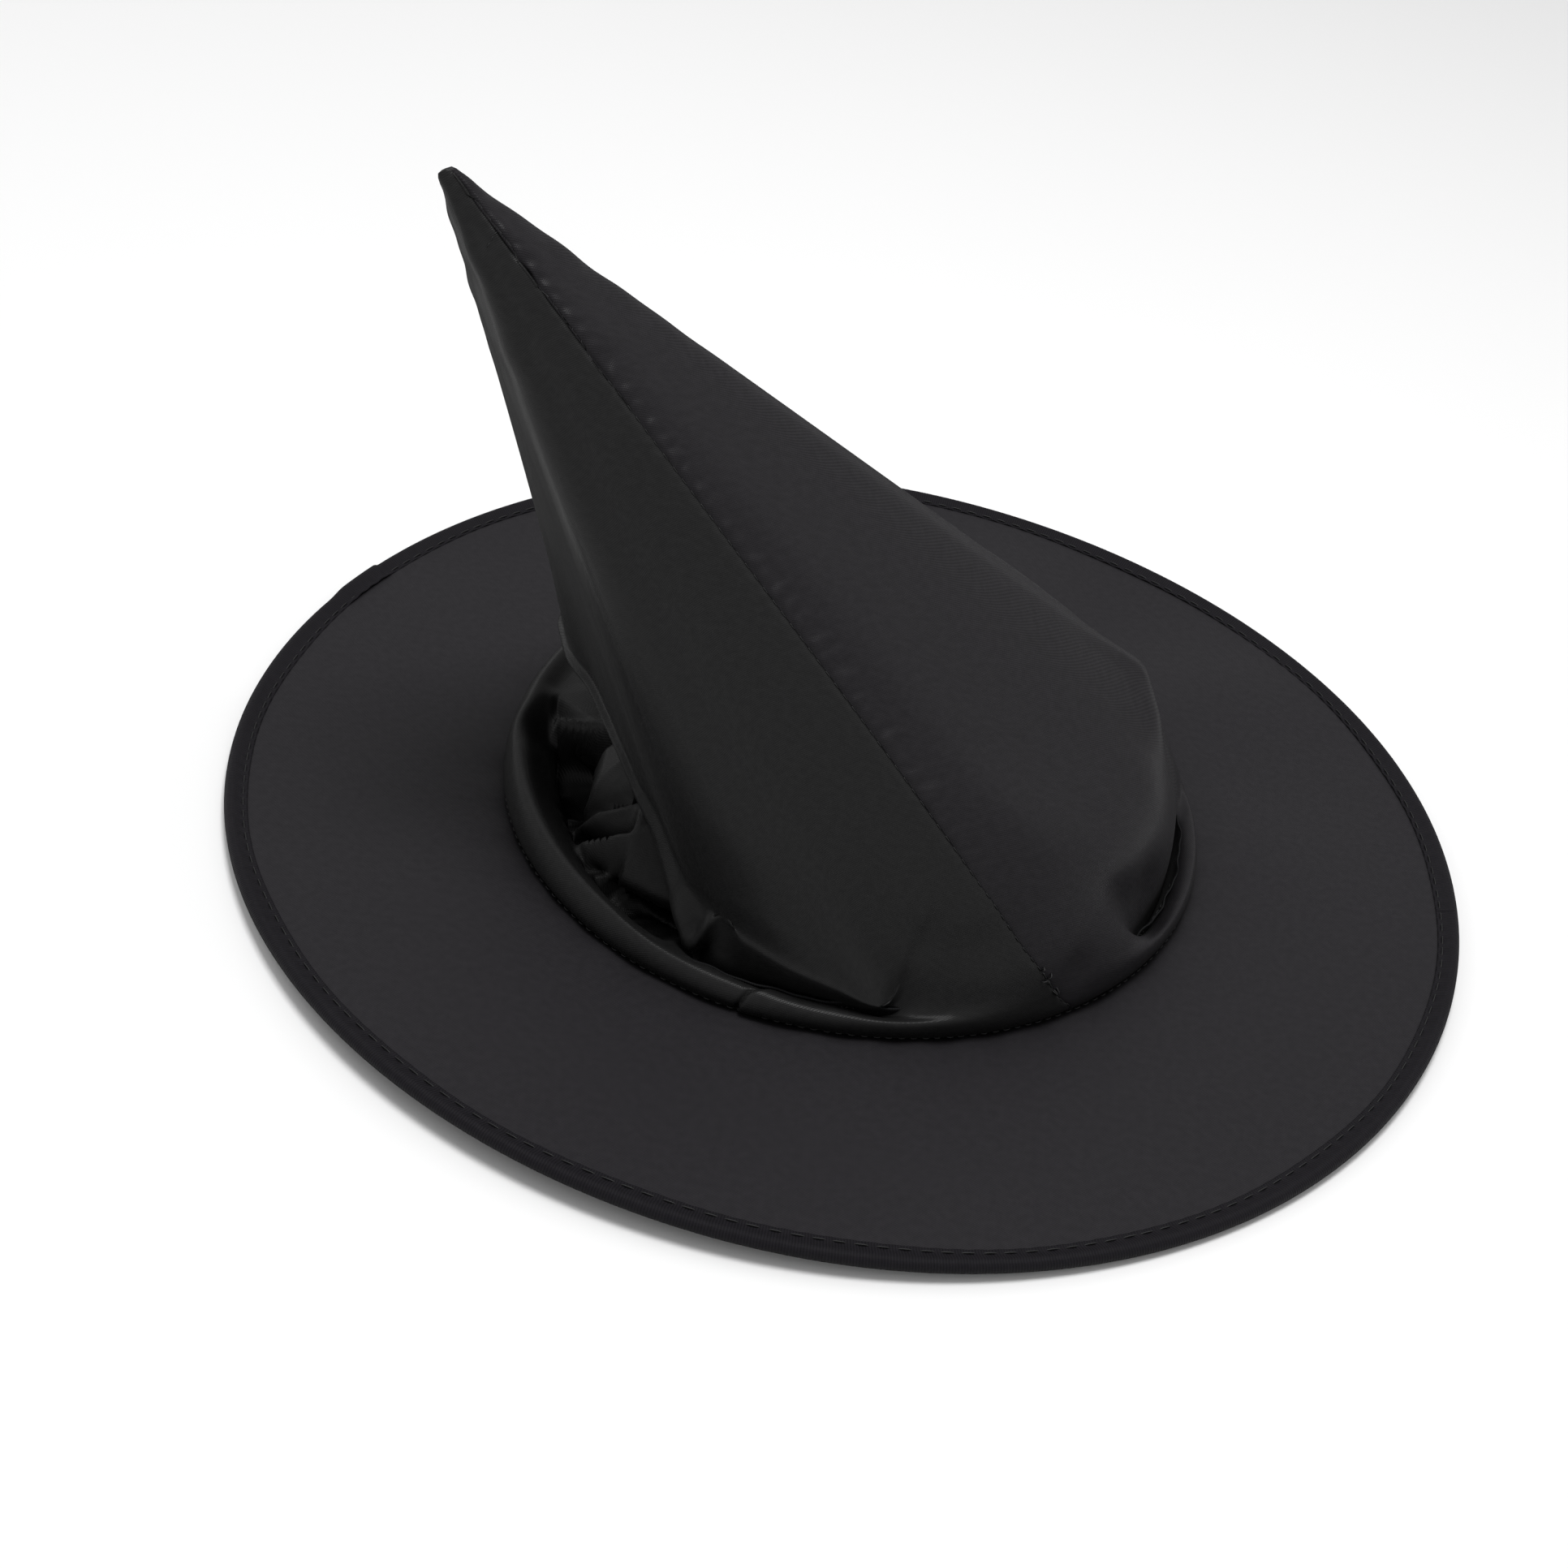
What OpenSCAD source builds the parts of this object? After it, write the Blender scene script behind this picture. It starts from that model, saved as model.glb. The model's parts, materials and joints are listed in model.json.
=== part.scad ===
// Pointed costume hat: a two-panel cloth crown, slumped to one side, on a flat round brim
// that a sprung hoop holds open. Origin at the middle of the brim's underside, +Z up.

/* [Brim] */
// Radius of the brim to the outside of the binding
brim_r = 190; // [180:1:205]
// Width of the binding tape, seen from above
binding_w = 7; // [6:0.5:10]
// Height of the bound rim
rim_h = 4.4; // [4.2:0.1:5]
// Radius of the hoop's wire
hoop_wire_r = 1.1; // [0.8:0.1:1.3]

/* [Head opening] */
// Inner radius of the head band
opening_r = 101.5; // [95:0.5:101.5]
// Height of the head band
band_h = 12; // [8:1:15]

/* [Crown] */
// Radius of the seam between crown and brim
seam_r = 105.5; // [105:0.5:108]
// Half length of the shoulder, across the lean
shoulder_x = 84; // [78:1:90]
// Half width of the shoulder, from front to back
shoulder_y = 88; // [80:1:92]
// Height of the middle of the shoulder
shoulder_z = 50; // [40:1:60]
// Rise of the shoulder on the side away from the lean
shoulder_rise = 10; // [0:1:15]
// How far the tip leans to the side
tip_lean = 136; // [60:1:150]
// Height of the tip
tip_z = 199; // [170:1:230]
// Direction of the front seam, in degrees round +Z
front_seam = -47; // [-70:1:-30]
// How far both seams turn back round the crown between the brim and the shoulder, in degrees
seam_turn = 17; // [0:1:30]

/* [Flopping peak] */
// Place of the bend, from 1 at the shoulder to 2 at the tip
bend_at = 1.5; // [1.45:0.05:1.55]
// Half length of the bending zone on the same scale
bend_half = 0.19; // [0.17:0.01:0.2]

/* [Hidden] */

tape_t = 0.6;                          // thickness of the binding and band tape
wall_t = 1.0;                          // nominal thickness of the crown's cloth
layer_gap = 0.2;                       // gap between the brim's two layers
rim_mid = rim_h / 2;                   // height of the hoop's middle
hoop_r = brim_r - rim_h / 2;           // radius of the hoop
layer_t = (rim_h - 2 * tape_t - layer_gap) / 2;
brim_in_r = opening_r + tape_t + 0.4;  // inner edge of the brim discs
brim_top = rim_h - tape_t;             // upper face of the brim

ferrule_t = 0.4;                       // wall of the ferrule
ferrule_clear = 0.05;                  // play between ferrule and wire
ferrule_arc = 5;                       // degrees of the hoop that the ferrule covers
ferrule_at = 155;                      // direction of the ferrule, under the tape's lap
ferrule_r = hoop_wire_r + ferrule_clear + ferrule_t;
brim_out_r = hoop_r - ferrule_r - 0.1; // outer edge of the brim discs

thread_r = 0.35;                       // radius of the sewing threads
thread_in = 1.2;                       // binding thread's distance from the tape's inner edge

shoulder_mid = [-4, -2, shoulder_z];   // middle of the shoulder
tip = [-tip_lean, -18, tip_z];         // where the crown's straight lines would meet
tip_cut = 1.97;                        // where the blunt tip ends, on the shoulder-tip scale
belly = 5;                             // outward swell of the wall below the shoulder
body_gap = 0.003;                      // gap at the ends of the bending zone, same scale
panel_gap = 0.2;                       // degrees left open at each seam for its thread
back_seam = front_seam + 180;
panel_steps = 24;                      // facets across one panel
thread_sides = 6;

$fn = 96;

// A point on the crown's outer face: a is the direction round +Z, u runs from 0 at the
// brim to 1 at the shoulder and 2 at the tip
function base_point(a) = [seam_r * cos(a), seam_r * sin(a), brim_top];
function shoulder_point(a) =
    shoulder_mid + [shoulder_x * cos(a), shoulder_y * sin(a), shoulder_rise * cos(a)];
function outward(a) = [cos(a), sin(a), 0];
function crown_point(a, u) =
    u < 1
    ? base_point(a) * (1 - u) + shoulder_point(a) * u + belly * sin(180 * u) * outward(a)
    : shoulder_point(a) * (2 - u) + tip * (u - 1);

// Direction of a line that starts in direction a at the brim and turns with the seams
function turned(a, u) = a - seam_turn * min(u, 1);

// Even steps from one level to another
function levels(u0, u1, n) = [for (i = [0:n]) u0 + (u1 - u0) * i / n];

low_levels = concat(levels(0, 1, 8), levels(1.08, bend_at - bend_half, 3));
bend_levels = levels(bend_at - bend_half + body_gap, bend_at + bend_half - body_gap, 6);
peak_levels = levels(bend_at + bend_half, tip_cut, 6);
thread_start = 0.05;                   // the seams' threads start just above the base seam
low_thread_levels = [for (u = low_levels) max(u, thread_start)];

// One panel between two directions, over a list of levels: a closed shell of cloth
module panel(a0, us) {
    cols = panel_steps + 1;
    rows = len(us);
    arc = 180 - 2 * panel_gap;
    outer = [for (u = us, i = [0:panel_steps])
        let (a = turned(a0 + panel_gap + arc * i / panel_steps, u)) crown_point(a, u)];
    inner = [for (u = us, i = [0:panel_steps])
        let (a = turned(a0 + panel_gap + arc * i / panel_steps, u))
        crown_point(a, u) - wall_t * outward(a)];
    shift = cols * rows;
    faces = concat(
        [for (j = [0:rows - 2], i = [0:panel_steps - 1])
            let (p = j * cols + i) each [[p, p + cols, p + 1], [p + 1, p + cols, p + cols + 1]]],
        [for (j = [0:rows - 2], i = [0:panel_steps - 1])
            let (p = shift + j * cols + i)
            each [[p, p + 1, p + cols], [p + 1, p + cols + 1, p + cols]]],
        [for (i = [0:panel_steps - 1])
            each [[i, i + 1, shift + i], [i + 1, shift + i + 1, shift + i]]],
        [for (i = [0:panel_steps - 1]) let (p = (rows - 1) * cols + i)
            each [[p, shift + p, p + 1], [p + 1, shift + p, shift + p + 1]]],
        [for (j = [0:rows - 2]) let (p = j * cols)
            each [[p, shift + p, p + cols], [p + cols, shift + p, shift + p + cols]]],
        [for (j = [0:rows - 2]) let (p = j * cols + panel_steps)
            each [[p, p + cols, shift + p], [p + cols, shift + p + cols, shift + p]]]
    );
    polyhedron(concat(outer, inner), faces, convexity = 6);
}

// The thread that lies in a seam of the crown: a thin tube along the seam's own line
module seam_thread(a0, us) {
    last = len(us) - 1;
    rings = [for (u = us, k = [0:thread_sides - 1])
        let (a = turned(a0, u), w = 360 * k / thread_sides, side = outward(a + 90),
             middle = crown_point(a, u) + (thread_r + 0.1) * outward(a))
        middle + thread_r * (cos(w) * side + sin(w) * outward(a))];
    faces = concat(
        [[for (k = [0:thread_sides - 1]) k]],
        [[for (k = [thread_sides - 1:-1:0]) last * thread_sides + k]],
        [for (j = [0:last - 1], k = [0:thread_sides - 1])
            let (p = j * thread_sides + k, q = j * thread_sides + (k + 1) % thread_sides)
            each [[p, p + thread_sides, q], [q, p + thread_sides, q + thread_sides]]]
    );
    polyhedron(rings, faces, convexity = 4);
}

// A flat ring from one radius to another
module flat_ring(r0, r1, z0, z1) {
    rotate_extrude() translate([r0, z0]) square([r1 - r0, z1 - z0]);
}

// A thread or wire that runs all the way round
module round_ring(r, z, wire_r) {
    rotate_extrude() translate([r, z]) circle(wire_r, $fn = 32);
}

module brim_top_fabric() {
    color([0.15, 0.14, 0.16])
        flat_ring(brim_in_r, brim_out_r, brim_top - layer_t, brim_top);
}

module brim_under_fabric() {
    color([0.13, 0.12, 0.14])
        flat_ring(brim_in_r, brim_out_r, tape_t, tape_t + layer_t);
}

// Tape folded over the rim: open towards the middle, with the hoop in its fold
module edge_binding() {
    color([0.09, 0.08, 0.10])
        rotate_extrude() difference() {
            union() {
                translate([hoop_r, rim_mid]) circle(rim_mid, $fn = 48);
                translate([brim_r - binding_w, 0]) square([hoop_r - brim_r + binding_w, rim_h]);
            }
            translate([hoop_r, rim_mid]) circle(rim_mid - tape_t, $fn = 48);
            translate([brim_r - binding_w - 1, tape_t])
                square([hoop_r - brim_r + binding_w + 1, rim_h - 2 * tape_t]);
        }
}

module binding_thread() {
    color([0.05, 0.05, 0.06])
        round_ring(brim_r - binding_w + thread_in, rim_h + thread_r, thread_r);
}

module spring_hoop() {
    color([0.55, 0.56, 0.58]) round_ring(hoop_r, rim_mid, hoop_wire_r);
}

// Short crimped tube round the two ends of the hoop
module hoop_ferrule() {
    color([0.75, 0.75, 0.77])
        rotate([0, 0, ferrule_at - ferrule_arc / 2])
            rotate_extrude(angle = ferrule_arc) translate([hoop_r, rim_mid]) difference() {
                circle(ferrule_r, $fn = 32);
                circle(hoop_wire_r + ferrule_clear, $fn = 32);
            }
}

module head_band() {
    color([0.08, 0.08, 0.09])
        flat_ring(opening_r, opening_r + tape_t, tape_t, tape_t + band_h);
}

module head_band_thread() {
    color([0.05, 0.05, 0.06])
        round_ring(opening_r + tape_t + thread_r, tape_t + band_h - 2, thread_r);
}

module base_seam_thread() {
    color([0.05, 0.05, 0.06]) round_ring(seam_r + thread_r, brim_top + thread_r, thread_r);
}

module crown_left_lower() { color([0.14, 0.14, 0.15]) panel(back_seam, low_levels); }
module crown_right_lower() { color([0.16, 0.16, 0.17]) panel(front_seam, low_levels); }
module crown_left_bend() { color([0.14, 0.14, 0.15]) panel(back_seam, bend_levels); }
module crown_right_bend() { color([0.16, 0.16, 0.17]) panel(front_seam, bend_levels); }
module crown_left_peak() { color([0.14, 0.14, 0.15]) panel(back_seam, peak_levels); }
module crown_right_peak() { color([0.16, 0.16, 0.17]) panel(front_seam, peak_levels); }

module front_seam_lower() { color([0.05, 0.05, 0.06]) seam_thread(front_seam, low_thread_levels); }
module front_seam_bend() { color([0.05, 0.05, 0.06]) seam_thread(front_seam, bend_levels); }
module front_seam_peak() { color([0.05, 0.05, 0.06]) seam_thread(front_seam, peak_levels); }
module back_seam_lower() { color([0.05, 0.05, 0.06]) seam_thread(back_seam, low_thread_levels); }
module back_seam_bend() { color([0.05, 0.05, 0.06]) seam_thread(back_seam, bend_levels); }
module back_seam_peak() { color([0.05, 0.05, 0.06]) seam_thread(back_seam, peak_levels); }

brim_top_fabric();
brim_under_fabric();
edge_binding();
binding_thread();
spring_hoop();
hoop_ferrule();
head_band();
head_band_thread();
base_seam_thread();
crown_left_lower();
crown_right_lower();
crown_left_bend();
crown_right_bend();
crown_left_peak();
crown_right_peak();
front_seam_lower();
front_seam_bend();
front_seam_peak();
back_seam_lower();
back_seam_bend();
back_seam_peak();
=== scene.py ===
"""Witch hat: a soft satin crown pushed down over its own base, on a sprung and bound brim.

The pieces stand in the frame of the CAD part and take their driving sizes from it.
"""
import json
import math

import bpy
import numpy as np
from mathutils import Matrix, Vector
from mathutils.geometry import delaunay_2d_cdt


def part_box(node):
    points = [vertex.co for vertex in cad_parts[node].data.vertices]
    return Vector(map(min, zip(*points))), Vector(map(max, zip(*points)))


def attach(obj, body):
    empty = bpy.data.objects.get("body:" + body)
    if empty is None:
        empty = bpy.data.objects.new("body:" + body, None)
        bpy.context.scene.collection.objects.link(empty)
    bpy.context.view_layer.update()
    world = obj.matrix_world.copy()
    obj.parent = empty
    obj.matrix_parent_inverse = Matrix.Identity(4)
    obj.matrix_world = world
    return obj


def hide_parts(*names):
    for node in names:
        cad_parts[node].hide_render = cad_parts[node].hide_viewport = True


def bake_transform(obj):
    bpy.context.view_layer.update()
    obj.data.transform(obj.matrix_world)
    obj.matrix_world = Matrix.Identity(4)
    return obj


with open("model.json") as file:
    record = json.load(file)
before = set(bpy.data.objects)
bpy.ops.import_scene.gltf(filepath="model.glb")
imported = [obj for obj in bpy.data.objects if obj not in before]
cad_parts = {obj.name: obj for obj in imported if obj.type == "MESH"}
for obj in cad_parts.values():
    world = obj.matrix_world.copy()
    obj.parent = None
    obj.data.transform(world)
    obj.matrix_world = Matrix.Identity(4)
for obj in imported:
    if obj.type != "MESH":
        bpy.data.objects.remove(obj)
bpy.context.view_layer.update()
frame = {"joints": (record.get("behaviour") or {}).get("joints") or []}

# Lengths below are in millimetres until a mesh is made. Angles are degrees round +Z.
MM = 0.001
RNG = np.random.default_rng(11)


# ---------------------------------------------------------------- driving sizes

rim_low, rim_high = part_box("edge_binding")
rim_r = rim_high[0] / MM                   # outside of the binding
rim_h = rim_high[2] / MM                   # height of the bound rim
band_low, band_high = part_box("head_band")
opening_r = band_high[0] / MM              # outside of the head band
hoop_low, hoop_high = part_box("spring_hoop")
hoop_wire_r = (hoop_high[2] - hoop_low[2]) / 2 / MM
hoop_r = hoop_high[0] / MM - hoop_wire_r
hinge = [j for j in frame["joints"] if j["name"] == "peak_flop"][0]

seam_r = 105.5            # seam between crown and brim
seam_z = 5.0
tape_w = 7.0              # binding, seen from above
tape_t = 0.45
cloth_t = 0.3
lap_at = 158.0            # where the binding's ends lap
front_seam = -48.0        # direction of the front seam at the brim
cut_slant = 345.0         # slant of the flat crown panels


# ---------------------------------------------------------------- small helpers

SHORTEST_SPAN = 0.05      # millimetres
SPAN_POWER = 0.6
THREAD_SIDES = 6
THREAD_END = 0.35         # a thread's radius at its ends, as a share of its radius
STITCH_POINTS = 7


def add_to_scene(obj):
    """Links a new object into the scene."""
    bpy.context.scene.collection.objects.link(obj)
    return obj


def mesh_object(name, points, faces, uvs=None):
    """A mesh from points in millimetres. uvs holds one (u, v) per point, in metres."""
    mesh = bpy.data.meshes.new(name)
    mesh.from_pydata([tuple(p) for p in np.asarray(points) * MM], [], faces)
    mesh.update()
    if uvs is not None:
        layer = mesh.uv_layers.new(name="cloth")
        corner = np.zeros(len(mesh.loops), np.int32)
        mesh.loops.foreach_get("vertex_index", corner)
        layer.data.foreach_set("uv", np.asarray(uvs, float)[corner].ravel())
    mesh.polygons.foreach_set("use_smooth", [True] * len(mesh.polygons))
    return add_to_scene(bpy.data.objects.new(name, mesh))


def grid_faces(rows, cols, closed, flip=False):
    """Quads of a grid whose points are numbered row by row."""
    faces = []
    for j in range(rows - 1):
        for i in range(cols if closed else cols - 1):
            k = (i + 1) % cols
            quad = (j * cols + i, j * cols + k, (j + 1) * cols + k, (j + 1) * cols + i)
            faces.append(quad[::-1] if flip else quad)
    return faces


def round_angles(count):
    """Directions in degrees, evenly spaced right round."""
    return np.linspace(0, 360, count + 1)[:-1]


def polar(angle, r, z):
    """Points from directions in degrees, radii and heights."""
    a = np.radians(angle)
    return np.stack(np.broadcast_arrays(r * np.cos(a), r * np.sin(a), z), axis=-1)


def smoothstep(x, low, high):
    """0 below low, 1 above high and a smooth rise between them."""
    t = np.clip((x - low) / (high - low), 0, 1)
    return t * t * (3 - 2 * t)


def turn_between(a, b):
    """Signed difference of two directions, from -180 to 180 degrees."""
    return (a - b + 180) % 360 - 180


def bump_at(x, middle, width):
    """A smooth hill of height 1."""
    return np.exp(-((x - middle) / width) ** 2)


def normals_of(grid):
    """Unit normals of a grid of points, rows by columns, whose rows run right round."""
    across = np.roll(grid, -1, 1) - np.roll(grid, 1, 1)
    along = np.gradient(grid, axis=0)
    n = np.cross(across, along)
    return n / np.maximum(np.linalg.norm(n, axis=-1, keepdims=True), 1e-9)


def hermite(s, start, end, start_slope, end_slope):
    """Cubic from start to end, for s from 0 to 1. The slopes hold for the whole step."""
    return ((2 * s ** 3 - 3 * s ** 2 + 1) * start + (3 * s ** 2 - 2 * s ** 3) * end
            + (s ** 3 - 2 * s ** 2 + s) * start_slope + (s ** 3 - s ** 2) * end_slope)


def through(controls, counts):
    """Smooth curve through controls (k, n, 3), with counts[i] steps in span i.

    A span counts as a power of its length below 1, so short spans next to long ones make no loops."""
    length = np.linalg.norm(np.diff(controls, axis=0), axis=-1, keepdims=True)
    span = np.maximum(length, SHORTEST_SPAN) ** SPAN_POWER
    slope = np.diff(controls, axis=0) / span
    middle = (slope[:-1] * span[1:] + slope[1:] * span[:-1]) / (span[1:] + span[:-1])
    tangent = np.concatenate([slope[:1], middle, slope[-1:]])
    rows = []
    for i, count in enumerate(counts):
        ahead, behind = span[i] * tangent[i], span[i] * tangent[i + 1]
        for s in np.arange(count) / count:
            rows.append(hermite(s, controls[i], controls[i + 1], ahead, behind))
    rows.append(controls[-1])
    return np.array(rows)


def round_table(table, at):
    """Smooth periodic values of a table whose first column is a direction in degrees."""
    table = np.array(sorted(table), float)
    key, values = table[:, 0], table[:, 1:]
    key = np.concatenate([key[-2:] - 360, key, key[:2] + 360])
    values = np.concatenate([values[-2:], values, values[:2]])
    slope = np.gradient(values, key, axis=0)
    at = (np.asarray(at) - table[0, 0]) % 360 + table[0, 0]
    k = np.clip(np.searchsorted(key, at, side="right") - 1, 0, len(key) - 2)
    step = (key[k + 1] - key[k])[:, None]
    s = ((at - key[k]) / (key[k + 1] - key[k]))[:, None]
    return hermite(s, values[k], values[k + 1], step * slope[k], step * slope[k + 1])


def apply_modifiers(obj):
    """Bakes the modifiers of obj into its mesh."""
    graph = bpy.context.evaluated_depsgraph_get()
    mesh = bpy.data.meshes.new_from_object(obj.evaluated_get(graph))
    obj.modifiers.clear()
    obj.data = mesh


def thicken(obj, thickness):
    """Gives a sheet its thickness, in millimetres, on the side away from its normals."""
    solid = obj.modifiers.new("thickness", "SOLIDIFY")
    solid.thickness = thickness * MM
    solid.offset = -1
    apply_modifiers(obj)


def tubes(name, runs, radius):
    """One mesh of round threads; runs holds lists of points, and each run is closed at its ends."""
    points, faces = [], []
    for run in runs:
        run = np.asarray(run, float)
        tangent = np.gradient(run, axis=0)
        tangent /= np.linalg.norm(tangent, axis=1, keepdims=True)
        lead = np.array([0.0, 0.0, 1.0])
        if abs(tangent[0] @ lead) > 0.9:
            lead = np.array([1.0, 0.0, 0.0])
        base = len(points)
        ease = np.ones(len(run))
        ease[[0, -1]] = THREAD_END
        for p, t, e in zip(run, tangent, ease):
            side = np.cross(t, lead)
            side /= np.linalg.norm(side)
            up = np.cross(side, t)
            for k in range(THREAD_SIDES):
                w = 2 * math.pi * k / THREAD_SIDES
                points.append(p + radius * e * (math.cos(w) * side + math.sin(w) * up))
        for j in range(len(run) - 1):
            for k in range(THREAD_SIDES):
                a, b = base + j * THREAD_SIDES + k, base + j * THREAD_SIDES + (k + 1) % THREAD_SIDES
                faces.append((a, b, b + THREAD_SIDES, a + THREAD_SIDES))
        faces.append(tuple(base + k for k in range(THREAD_SIDES))[::-1])
        faces.append(tuple(base + (len(run) - 1) * THREAD_SIDES + k for k in range(THREAD_SIDES)))
    return mesh_object(name, points, faces)


def stitches(name, line, out, pitch, radius, fill=0.72, lift=0.25, sink=0.35):
    """Stitches along a line of points, standing on the side of the unit vectors out.

    Each fills a share of its pitch, rises by lift in its middle and dips by sink at its ends. Their
    lengths and places vary a little."""
    line, out = np.asarray(line, float), np.asarray(out, float)
    length = np.concatenate([[0], np.cumsum(np.linalg.norm(np.diff(line, axis=0), axis=1))])
    count = max(1, int(round(length[-1] / pitch)))
    step = length[-1] / count
    reach = np.linspace(-1, 1, STITCH_POINTS)
    arch = 1 - reach ** 4
    runs = []
    for n in range(count):
        half = step * fill / 2 * RNG.uniform(0.92, 1.08)
        s = (n + 0.5) * step + RNG.uniform(-0.06, 0.06) * step + half * reach
        p = np.stack([np.interp(s, length, line[:, c]) for c in range(3)], axis=1)
        o = np.stack([np.interp(s, length, out[:, c]) for c in range(3)], axis=1)
        runs.append(p + o * (lift * arch - sink * (1 - arch))[:, None])
    return tubes(name, runs, radius)


# ---------------------------------------------------------------- camera

def make_camera():
    """The camera stands in front of the brim, looks down on it and leans to one side."""
    place = Vector((0.0, -0.6365, 0.4896))      # metres
    aim = Vector((-0.0215, 0.0025, 0.0050))
    lean = 9.647                                # degrees
    data = bpy.data.cameras.new("camera")
    data.lens = 59.25
    data.sensor_width = 36
    data.clip_start = 0.05
    cam = add_to_scene(bpy.data.objects.new("camera", data))
    ahead = (aim - place).normalized()
    right = ahead.cross(Vector((0, 0, 1))).normalized()
    up = right.cross(ahead)
    c, s = math.cos(math.radians(lean)), math.sin(math.radians(lean))
    x, y = right * c + up * s, up * c - right * s
    cam.matrix_world = Matrix.Translation(place) @ Matrix((x, y, -ahead)).transposed().to_4x4()
    bpy.context.scene.camera = cam
    bpy.context.scene.view_settings.view_transform = "Standard"


make_camera()


# ---------------------------------------------------------------- materials

# Sockets of a Mix node by number, since its names repeat
MIX_FACTOR, MIX_A, MIX_B, MIX_COLOUR_A, MIX_COLOUR_B = 0, 2, 3, 6, 7
MIX_COLOUR_OUT = 2


def node_tools(material):
    """Short ways to add nodes, join them and map one range of values to another."""
    tree = material.node_tree
    def add(kind, **values):
        n = tree.nodes.new(kind)
        for key, value in values.items():
            if key in n.inputs:
                n.inputs[key].default_value = value
            else:
                setattr(n, key, value)
        return n
    def join(a, out, b, into):
        tree.links.new(a.outputs[out], b.inputs[into])
    def remap(source, out, low, high, to_low=0.0, to_high=1.0):
        n = add("ShaderNodeMapRange")
        limits = {"From Min": low, "From Max": high, "To Min": to_low, "To Max": to_high}
        for key, value in limits.items():
            n.inputs[key].default_value = value
        join(source, out, n, "Value")
        return n
    return add, join, remap


def cloth_material(name, dark, light, rough, weave, slope, gloss_level=0.09, bump=0.22, ribs=False):
    """Woven cloth: fine lines at the weave's pitch in metres, soft blotches of shade and gloss, and painted
    shade that darkens the colour in creases and hollows.
    """
    m = bpy.data.materials.new(name)
    m.use_nodes = True
    add, join, remap = node_tools(m)
    shader = m.node_tree.nodes["Principled BSDF"]
    shader.inputs["Sheen Weight"].default_value = 0.01
    shader.inputs["Sheen Roughness"].default_value = 0.45
    shader.inputs["Specular IOR Level"].default_value = gloss_level

    place = add("ShaderNodeUVMap", uv_map="cloth")
    turn = add("ShaderNodeMapping")
    turn.inputs["Rotation"].default_value = (0, 0, math.radians(slope))
    join(place, "UV", turn, "Vector")
    lines = add("ShaderNodeTexWave", Scale=math.pi / 10 / weave, Distortion=0.6, Detail=1.0)
    lines.inputs["Detail Scale"].default_value = 3.0
    join(turn, "Vector", lines, "Vector")
    cross = add("ShaderNodeTexWave", Scale=math.pi / 10 / (weave * 0.8), Distortion=0.8)
    cross.bands_direction = "Y"
    join(turn, "Vector", cross, "Vector")
    slub = add("ShaderNodeTexNoise", Scale=420.0, Detail=3.0)
    join(place, "UV", slub, "Vector")
    blotch = add("ShaderNodeTexNoise", Scale=16.0, Detail=3.0)
    join(place, "UV", blotch, "Vector")

    weave_mix = add("ShaderNodeMix", data_type="FLOAT")
    weave_mix.inputs[MIX_FACTOR].default_value = 0.1 if ribs else 0.35
    join(lines, "Fac", weave_mix, MIX_A)
    join(cross, "Fac", weave_mix, MIX_B)
    fine = add("ShaderNodeMath", operation="MULTIPLY_ADD")
    fine.inputs[1].default_value = 0.9
    join(slub, "Fac", fine, 0)
    join(weave_mix, 0, fine, 2)

    colour = add("ShaderNodeMix", data_type="RGBA")
    colour.inputs[MIX_COLOUR_A].default_value = (*dark, 1)
    colour.inputs[MIX_COLOUR_B].default_value = (*light, 1)
    tone = remap(fine, 0, 0.50, 1.45)
    join(tone, "Result", colour, MIX_FACTOR)
    # Painted shade: ambient occlusion darkens the base colour in creases and hollows, standing in for the
    # light that bounces between dark folds and is lost
    crease_shade_ao = add("ShaderNodeAmbientOcclusion", Distance=0.045, samples=8)
    depth = remap(crease_shade_ao, "AO", 0.15, 0.8, 0.05)
    colour_with_painted_shade = add("ShaderNodeMix", data_type="RGBA", blend_type="MULTIPLY")
    colour_with_painted_shade.inputs[MIX_FACTOR].default_value = 1.0
    join(colour, MIX_COLOUR_OUT, colour_with_painted_shade, MIX_COLOUR_A)
    join(depth, "Result", colour_with_painted_shade, MIX_COLOUR_B)
    # The base colour carries the painted crease shade
    join(colour_with_painted_shade, MIX_COLOUR_OUT, shader, "Base Color")

    # Satin is duller where it turns away, and its gloss is a little uneven
    gloss = remap(blotch, "Fac", 0.3, 0.7, rough - 0.05, rough + 0.05)
    edge = add("ShaderNodeLayerWeight", Blend=0.5)
    dull = remap(edge, "Facing", 0.55, 0.95, 0.0, 0.95 - rough)
    edge_gloss = add("ShaderNodeMath", operation="ADD", use_clamp=True)
    join(gloss, "Result", edge_gloss, 0)
    join(dull, "Result", edge_gloss, 1)
    join(edge_gloss, 0, shader, "Roughness")

    relief = add("ShaderNodeBump", Strength=bump, Distance=0.0002)
    join(fine, 0, relief, "Height")
    join(relief, "Normal", shader, "Normal")
    return m


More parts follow.
